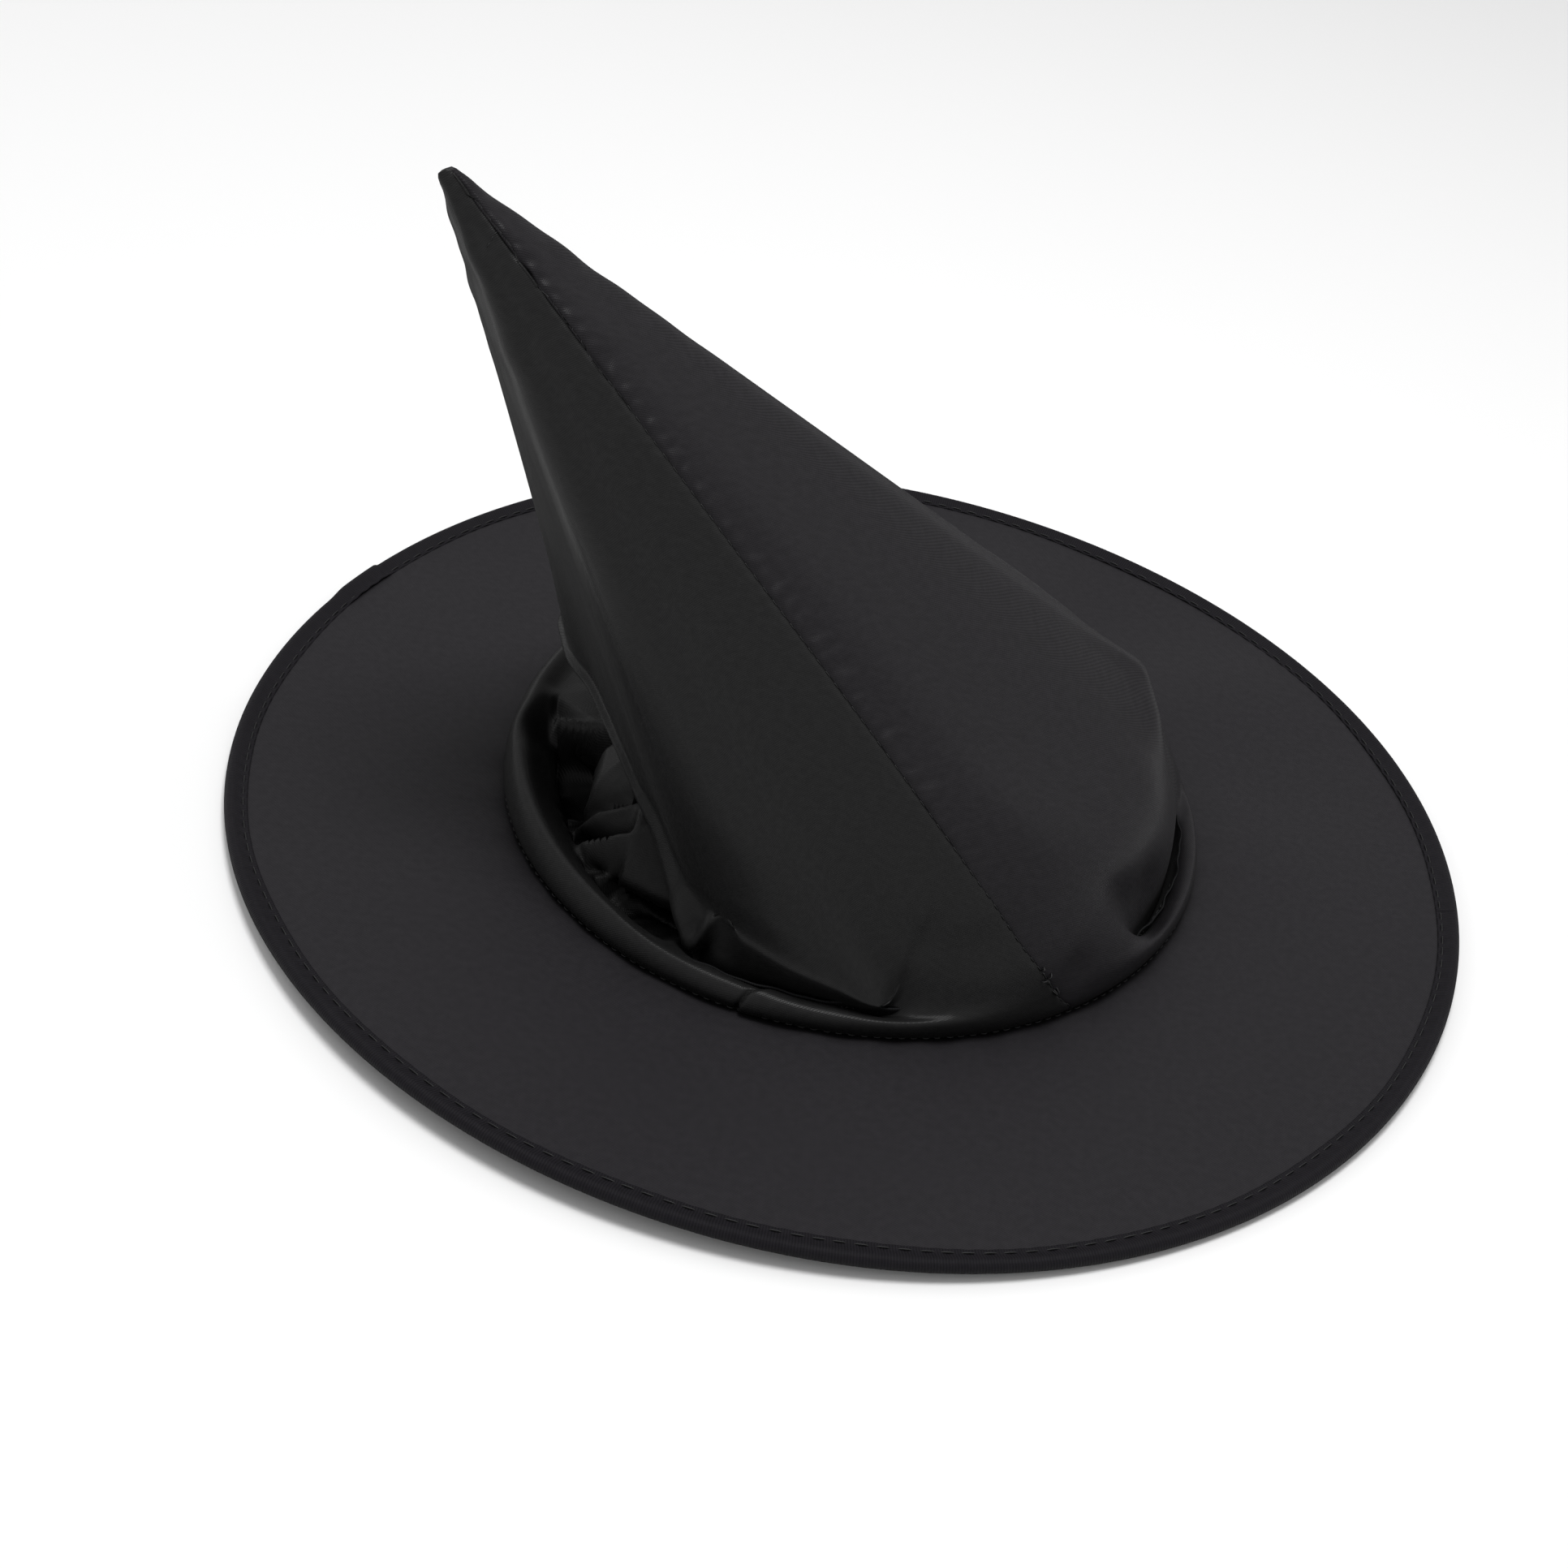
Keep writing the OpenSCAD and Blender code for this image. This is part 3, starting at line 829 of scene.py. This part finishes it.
def soften(grid, angles):
    """Broad, shallow dents and folds of cloth that carries only its own weight."""
    n = normals_of(grid)
    base = sum(LOW_COUNTS)
    t = (np.arange(len(grid))[:, None] - base) / CONE_ROWS
    a = angles[None, :]
    up = smoothstep(t, 0.0, 0.12) * (1 - smoothstep(t, 0.97, 1.0))
    high = smoothstep(t, 0.55, 0.85)
    d = 0.7 * np.sin(np.radians(3 * a + 160 * t)) * (1 - 0.6 * high)
    d = d + 0.22 * high * np.sin(2 * math.pi * (7.1 * t + a / 240))
    d = d + 0.14 * high * np.sin(2 * math.pi * (13.3 * t - a / 150) + 1)
    moves = n * (d * up)[..., None]
    moves += dent(grid, n, (44, -87, 33), 9, 2.2)
    moves += dent(grid, n, (30, -90, 32), 8, 1.4)
    moves += dent(grid, n, (92, -42, 26), 9, 2.5)
    moves += dent(grid, n, (80, -55, 30), 9, 1.5)
    moves += dent(grid, n, (72, -78, 21), 7, 1.3)
    moves += crease(grid, n, (-32, -88, 25), (-36, -93, 12), 2.6, 1.4)
    moves += dent(grid, n, (-37.3, -87.9, 17), 1.8, 1.0)
    moves += crease(grid, n, (20, -102, 12), (24, -94, 24), 4.0, -2.0)
    moves += tuck(grid, n, angles)
    return grid + moves


def tuck(grid, normals, angles):
    """The small pleat where the collar's surplus was folded over itself and sewn down."""
    row = np.arange(len(grid))[:, None] / sum(LOW_COUNTS[:3])
    edge = 258.8 + 5.0 * np.clip(row, 0, 1.2) ** 1.5
    x = np.radians(turn_between(angles[None, :] % 360, edge)) * 104
    over = 1.1 * smoothstep(x, -0.2, 0.6) * np.exp(-np.clip(x, 0, None) / 14)
    below = -1.1 * bump_at(x, -0.3, 0.7)
    on_collar = smoothstep(row, 0.0, 0.15) * (1 - smoothstep(row, 1.0, 1.4))
    return ((over + below) * on_collar)[..., None] * normals


crown = pucker(soften(crown, angles))


def cut_place(grid, angles):
    """Where each point lies on the flat cut of its panel, in metres, for the run of the weave."""
    length = np.concatenate([np.zeros((1, grid.shape[1])),
                             np.cumsum(np.linalg.norm(np.diff(grid, axis=0), axis=-1), 0)])
    length *= cut_slant / np.maximum(length[-1], 1)
    spread = np.radians(angles - front_seam) * seam_r / cut_slant
    rho = (cut_slant - length) * MM
    return np.stack([rho * np.sin(spread), rho * np.cos(spread)], -1)


def bend_points():
    """Where the crown starts and ends its bend, along the line from the hinge to the tip."""
    half_bend = 0.045                           # metres
    middle = np.array(hinge["pos_m"])
    ahead = tip * MM - middle
    ahead /= np.linalg.norm(ahead)
    return tuple(middle - half_bend * ahead), tuple(middle + half_bend * ahead)


def make_panels(grid, angles):
    """The crown's two panels, which meet at the seams."""
    uv = cut_place(grid, angles)
    bend = bend_points()
    for name, first, nodes, cloth in (("crown_panel_right", 0, "crown_right", right_cloth),
                                      ("crown_panel_left", PANEL_COLS, "crown_left", left_cloth)):
        cols = (np.arange(PANEL_COLS + 1) + first) % (2 * PANEL_COLS)
        piece = grid[:, cols]
        obj = mesh_object(name, piece.reshape(-1, 3), grid_faces(len(piece), len(cols), False),
                          uv[:, cols].reshape(-1, 2))
        thicken(obj, cloth_t)
        finish_piece(obj, cloth, None)
        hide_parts(nodes + "_lower", nodes + "_bend", nodes + "_peak")
        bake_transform(obj)


make_panels(crown, angles)


def make_seam_threads(grid):
    """The stitches along both seams of the crown."""
    n = normals_of(grid)
    bend = bend_points()
    for name, col, node in (("front_seam_stitches", 0, "front_seam"),
                            ("back_seam_stitches", PANEL_COLS, "back_seam")):
        line, out = grid[4:-3, col], n[4:-3, col]
        obj = stitches(name, line, out, 4.0, 0.16, fill=0.6, lift=0.12, sink=0.3)
        finish_piece(obj, thread_mat, None)
        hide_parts(node + "_lower", node + "_bend", node + "_peak")
        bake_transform(obj)


make_seam_threads(crown)


def make_knots(grid):
    """Loose thread ends at the foot of the front seam, and the short bar of stitches near the tip."""
    n = normals_of(grid)
    runs = []
    for row, reach in ((11, 3.2), (17, 2.2), (26, 1.4)):
        spot, up = grid[row, 0], n[row, 0]
        side = np.cross(up, [0.0, 0.0, 1.0])
        side /= np.linalg.norm(side)
        for turn in RNG.uniform(0, 360, 3):
            way = math.cos(math.radians(turn)) * side + math.sin(math.radians(turn)) * np.cross(side, up)
            s = np.linspace(0, 1, 8)[:, None]
            runs.append(spot + way * reach * s + up * (0.25 + 0.9 * np.sin(math.pi * s) - 0.35 * s))
    knots = tubes("front_seam_knots", runs, 0.2)
    finish_piece(knots, thread_mat)

    bar_row = len(grid) - 19
    dist, k = seam_distance(grid, 0)
    beside = np.where((k < 0) & (dist[bar_row] < 6.0))[0][::-1]
    bar = stitches("tip_bar_stitches", grid[bar_row, beside], n[bar_row, beside], 1.6, 0.16,
                   fill=0.7, lift=0.15, sink=0.25)
    finish_piece(bar, thread_mat, "peak")


make_knots(crown)


def make_base_seam():
    """The stitches that join the crown to the brim."""
    turn = np.linspace(0, 360, 361)
    line = polar(turn, seam_r + 1.4, seam_z + 1.3)
    out = polar(turn, 1.0, 0.0) * 0.8 + np.array([0, 0, -0.2])
    obj = stitches("base_seam_stitches", line, out, 3.5, 0.13, fill=0.6, lift=0.2, sink=0.3)
    finish_piece(obj, thread_mat)
    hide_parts("base_seam_thread")


make_base_seam()


def make_head_band():
    """The tape inside the head opening, a little rippled above its sewn edge, and its stitches."""
    top_z = 12.9
    a = round_angles(540)
    z = np.linspace(0.9, top_z, 15)
    aa, zz = np.meshgrid(a, z)
    ripple = 0.35 * np.sin(np.radians(aa * 31)) + 0.2 * np.sin(np.radians(aa * 67) + zz / 3)
    r = opening_r - 0.5 + ripple * smoothstep(zz, 0, 6) + 0.3 * bump_at(zz, top_z, 0.8)
    uv = np.stack([np.radians(aa) * opening_r * MM, zz * MM], -1).reshape(-1, 2)
    points = polar(aa, r, zz).reshape(-1, 3)
    band = mesh_object("inner_head_band", points, grid_faces(len(z), len(a), True), uv)
    thicken(band, 0.5)
    finish_piece(band, band_cloth)
    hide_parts("head_band")
    line = polar(np.linspace(0, 360, 361), opening_r - 0.9, 11.0)
    out = -polar(np.linspace(0, 360, 361), 1.0, 0.0)
    thread = stitches("head_band_stitches", line, out, 3.5, 0.2)
    finish_piece(thread, thread_mat)
    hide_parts("head_band_thread")
    return band, thread


head_band, head_band_thread = make_head_band()


# ---------------------------------------------------------------- floor and light

def make_stage():
    """A plain, pale floor."""
    half = 3.0            # metres
    corners = [(-half, -half, 0), (half, -half, 0), (half, half, 0), (-half, half, 0)]
    floor = bpy.data.meshes.new("floor")
    floor.from_pydata(corners, [], [(0, 1, 2, 3)])
    obj = add_to_scene(bpy.data.objects.new("floor", floor))
    m = bpy.data.materials.new("floor_white")
    m.use_nodes = True
    shader = m.node_tree.nodes["Principled BSDF"]
    shader.inputs["Base Color"].default_value = (0.92, 0.92, 0.92, 1)
    shader.inputs["Roughness"].default_value = 0.9
    obj.data.materials.append(m)


def make_light(name, place, size, power, aim=(0, 0, 0.08)):
    """A white softbox that faces the hat. Places and sizes are in metres, power in watts."""
    data = bpy.data.lights.new(name, "AREA")
    data.shape = "RECTANGLE"
    data.size, data.size_y = size
    data.energy = power
    obj = add_to_scene(bpy.data.objects.new(name, data))
    obj.location = place
    obj.rotation_euler = (Vector(aim) - Vector(place)).to_track_quat("-Z", "Y").to_euler()


def make_world():
    """Even white light from all round."""
    world = bpy.data.worlds.new("studio")
    world.use_nodes = True
    back = world.node_tree.nodes["Background"]
    back.inputs["Color"].default_value = (1, 1, 1, 1)
    back.inputs["Strength"].default_value = 0.52
    bpy.context.scene.world = world


make_stage()
make_world()
make_light("top_softbox", (0.05, -0.10, 1.5), (0.5, 0.5), 14)
make_light("left_softbox", (-1.0, 0.35, 0.9), (0.5, 0.5), 1.1)
make_light("right_softbox", (1.2, 0.5, 1.1), (0.6, 0.6), 1.1)
